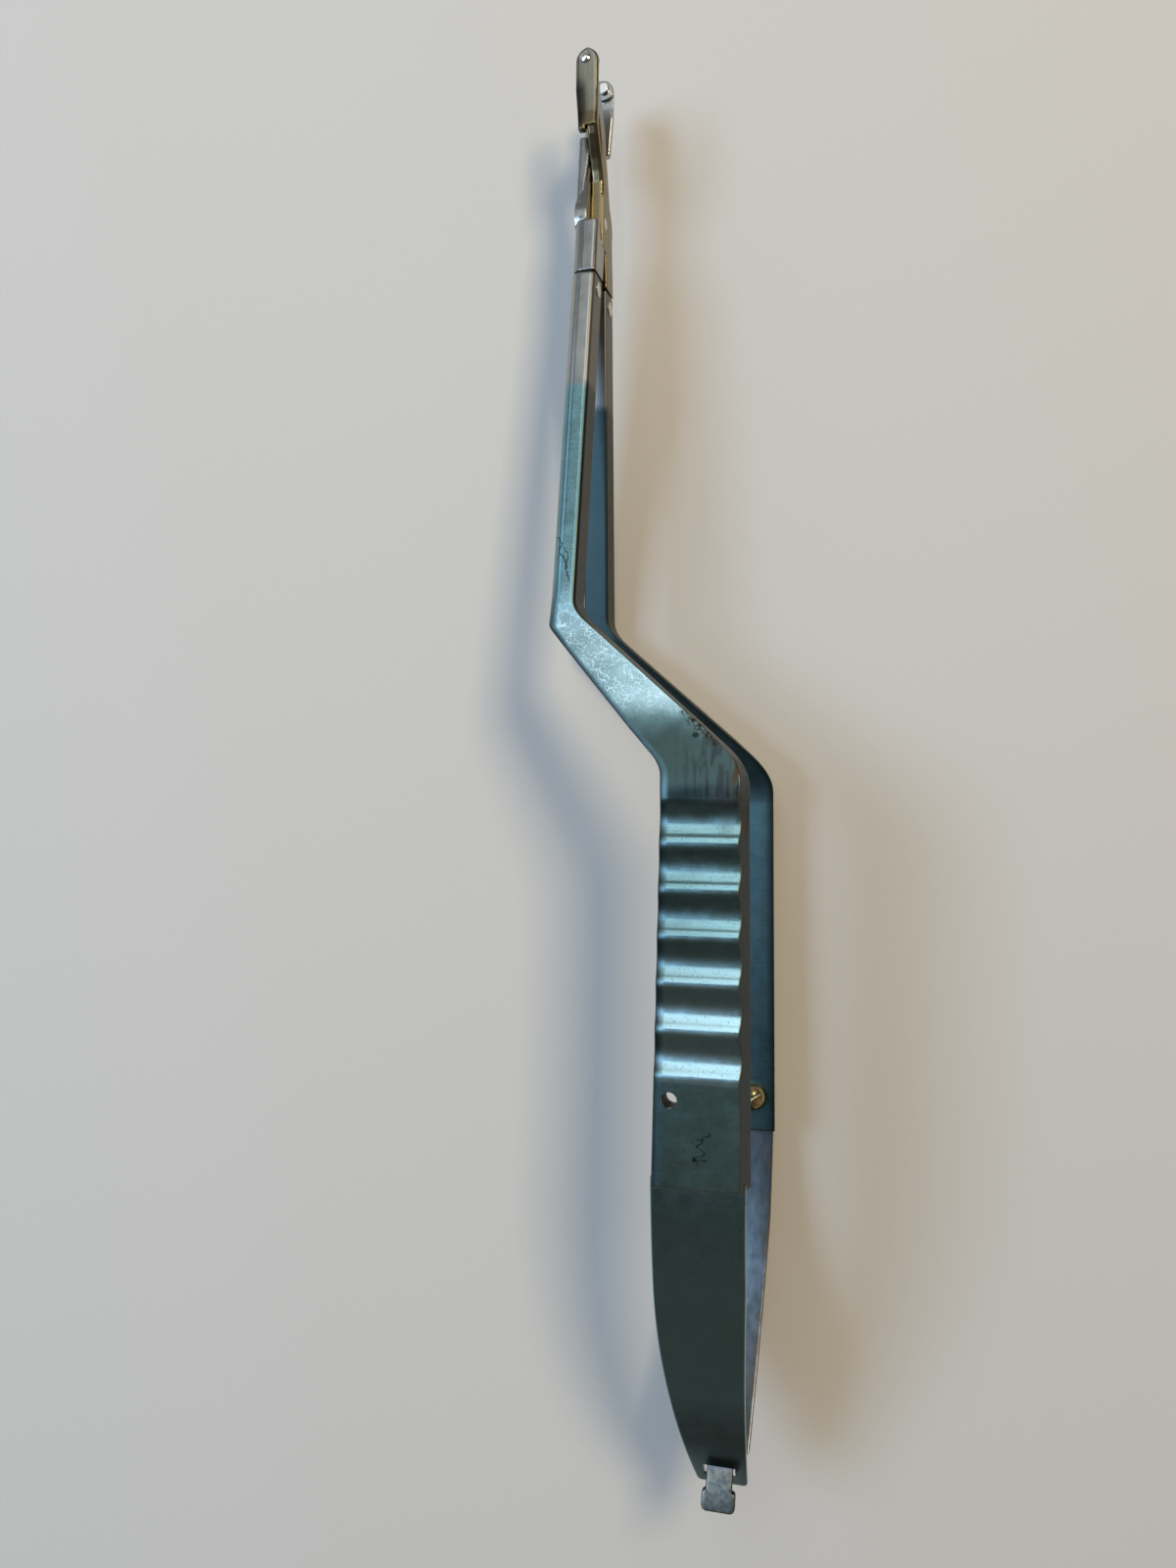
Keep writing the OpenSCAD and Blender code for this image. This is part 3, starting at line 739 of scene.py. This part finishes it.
# The stop screw is bare metal; its gold is a painted warm reflection.
screw_sheen = Finish("screw titanium with painted warm reflection")
screw_sheen_haze = screw_sheen.noise((800.0, 800.0, 800.0), detail=4.0)
screw_sheen.feed(screw_sheen.shader.inputs["Base Color"], screw_sheen.mix(
    screw_sheen_haze, (0.42, 0.31, 0.14), (0.66, 0.52, 0.30)))
screw_sheen.shader.inputs["Metallic"].default_value = 1.0
screw_sheen.feed(screw_sheen.shader.inputs["Roughness"], 0.16 + screw_sheen_haze * 0.14)
screw_sheen.dress(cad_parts["stop_screw"])

# The two leaf springs.
# Sheet titanium, bowed to meet behind the plates. A T-shaped tongue on the lower
# leaf hooks through a slot in the upper one, so the pair holds the jaws open.
leaf_t = 1.0
leaf_cross, leaf_end, tongue_end = -189.3, -191.8, -194.3
leaf_z = plate_height - plate_t / 2
leaf_start = 0.08
leaf_run = plate_rear - leaf_cross
leaf_bow = (leaf_z - leaf_start * leaf_run) / leaf_run ** 2
tongue_y = leaf_cross + 1


def leaf_mid(y):
    """Height of a leaf's middle over the mid-plane: a parabola behind the plate."""
    s = np.maximum(0.0, plate_rear - y)
    return leaf_z - leaf_start * s - leaf_bow * s * s


def tongue_mid(y):
    """The same, levelling out along the tongue."""
    t = np.maximum(0.0, tongue_y - y)
    return leaf_mid(np.maximum(y, tongue_y)) - 0.6 * t + 0.03 * t * t


def leaf_left(y):
    waist, pull = -157.0, 3.5
    return (arm_left(np.float64(plate_rear))
            + pull * (np.maximum(0.0, waist - y) / (waist - leaf_cross)) ** 2)


def leaf_right(y):
    clear_of_bevel = 0.5 * np.clip(1 - (plate_rear - y) / 14.0, 0.0, 1.0)
    return arm_right(np.float64(plate_rear)) - clear_of_bevel - 0.045 * (plate_rear - y)


tail_x = float(leaf_left(np.float64(leaf_cross)) + leaf_right(np.float64(leaf_cross))) / 2
root_in = plate_rear + 1.0


def leaf_skin(name, y, left, right, mid, side):
    """A bowed strip with round rims: thin rounded sections along the leaf."""
    rim = np.full_like(y, 0.28)
    inset = end_inset(y, y[0] + 1.0, y[-1], 0.28)
    points, turn_mark = rings(y, left, right, mid - leaf_t / 2, mid + leaf_t / 2,
                              [rim, rim, rim, rim], inset, 5, 12)
    across = (points[..., 0] - left[:, None]) / (right - left)[:, None]
    marks = {"rim": np.array(turn_mark) * 0.6, "across": across}
    points[..., 2] *= side
    return skin(name, points, marks)


def rounded_end(y, end, r):
    """How far a strip's side draws in over a rounded outline corner at its end."""
    s = np.clip(y - end, 0.0, r)
    return r - np.sqrt(r * r - (r - s) ** 2)


upper_y = np.concatenate([steps(root_in, -189.0, 0.6), steps(-189.0, -191.4, 0.1),
                          leaf_end + np.array([0.36, 0.28, 0.2, 0.12, 0.05, 0.01, 0.0])])
upper_leaf = leaf_skin("upper_leaf", upper_y,
                       leaf_left(upper_y) + rounded_end(upper_y, leaf_end, 0.7),
                       leaf_right(upper_y) - rounded_end(upper_y, leaf_end, 0.7),
                       leaf_mid(upper_y), 1.0)
slot_len, slot_w = 2.3, 4.7
cut_out(upper_leaf, (tail_x, leaf_cross, 0.0), (slot_w, slot_len, 6.0), False)

neck_w, head_w, head_len = 3.9, 5.0, 2.7
shoulder = leaf_cross + 2.2
lower_y = np.concatenate([
    steps(root_in, -186.4, 0.6), steps(-186.4, shoulder + 0.02, 0.06), [shoulder + 0.005],
    shoulder - np.array([0.005, 0.05, 0.12, 0.2, 0.3, 0.45]), steps(shoulder - 0.6, -191.4, 0.12),
    steps(-191.4, -192.6, 0.05), steps(-192.6, -193.4, 0.15),
    steps(-193.4, tongue_end + 0.02, 0.06), [tongue_end + 0.01, tongue_end]])
in_tongue = lower_y < shoulder
head_start = tongue_end + head_len
in_head = lower_y < head_start
draw_in = np.where(in_tongue, 0.0, rounded_end(lower_y, shoulder, 0.6))
fillet = np.where(in_tongue & ~in_head,
                  0.3 - np.sqrt(np.maximum(0.0, 0.09 - np.clip(
                      0.3 - (shoulder - lower_y), 0.0, 0.3) ** 2)), 0.0)
head_draw = np.where(in_head, rounded_end(lower_y, tongue_end, 0.8)
                     + rounded_end(2 * head_start - lower_y, head_start, 0.5), 0.0)
tongue_half = np.where(in_head, head_w / 2 - head_draw, neck_w / 2)
lower_left = np.where(in_tongue, tail_x - tongue_half, leaf_left(lower_y) + draw_in)
lower_right = np.where(in_tongue, tail_x + tongue_half, leaf_right(lower_y) - draw_in)
lower_leaf = leaf_skin("lower_leaf", lower_y, lower_left, lower_right, tongue_mid(lower_y), -1.0)

sheet = Finish("anodised titanium sheet")
none = sheet.blot((0.0, 0.0, 1.0), (0.001, 0.001, 0.001))
root_brown = (sheet.rise(sheet.axis("Y"), -0.0640, -0.0583) * 0.35
              * sheet.rise(sheet.noise((300.0, 120.0, 300.0), detail=4.0), 0.35, 0.65))
tail_dark = sheet.rise(sheet.axis("Y"), -0.088, -0.100) * 0.8
mid_light = sheet.rise(sheet.axis("Y"), -0.058, -0.074) * 0.45 + 0.15
anodise(sheet, None, none, root_brown, none, tail_dark, none, mid_light, none, (0.1, 0.1, 0.1))
heat_blue = Finish("heat tinted titanium sheet")
tint_cloud = heat_blue.noise((120.0, 90.0, 120.0), detail=5.0)
tint_fine = heat_blue.noise((900.0, 500.0, 900.0), detail=4.0)
tint = heat_blue.ramp(tint_cloud * 0.75 + tint_fine * 0.25, [
    (0.32, (0.16, 0.22, 0.25)), (0.46, (0.25, 0.30, 0.36)),
    (0.58, (0.32, 0.36, 0.45)), (0.72, (0.32, 0.31, 0.31))])
leaf_along = heat_blue.axis("Y")
tint = heat_blue.mix(heat_blue.rise(leaf_along, -0.084, -0.066) * 0.72, tint, (0.05, 0.06, 0.05))
edge_rust = (heat_blue.rise(heat_blue.noise((420.0, 260.0, 420.0), detail=5.0), 0.42, 0.58)
             * heat_blue.rise(heat_blue.attribute("across"), 0.78, 1.0) * 0.5)
tint = heat_blue.mix(edge_rust, tint, (0.17, 0.11, 0.07))
tongue_speck = heat_blue.rise(heat_blue.noise((1500.0, 1500.0, 1500.0), detail=4.0), 0.30, 0.72)
on_tongue = heat_blue.rise(leaf_along, -0.1030, -0.1048)
tongue_tone = heat_blue.mix(tongue_speck, (0.085, 0.095, 0.105), (0.18, 0.185, 0.155))
tint = heat_blue.mix(on_tongue, tint, tongue_tone)
heat_blue.feed(heat_blue.shader.inputs["Base Color"], tint)
heat_blue.shader.inputs["Metallic"].default_value = 1.0
heat_blue.feed(heat_blue.shader.inputs["Roughness"], 0.24 + tint_fine * 0.20)
heat_blue.feed(heat_blue.shader.inputs["Normal"], heat_blue.bump(tint_fine, 0.2, 0.00003))

for leaf, node, near, far, finish in (
        (upper_leaf, "upper_spring", "upper_body", "lower_body", sheet),
        (lower_leaf, "lower_spring", "lower_body", "upper_body", heat_blue)):
    finish.dress(leaf)
    weighted(leaf)
    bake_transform(leaf)
    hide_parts(node)
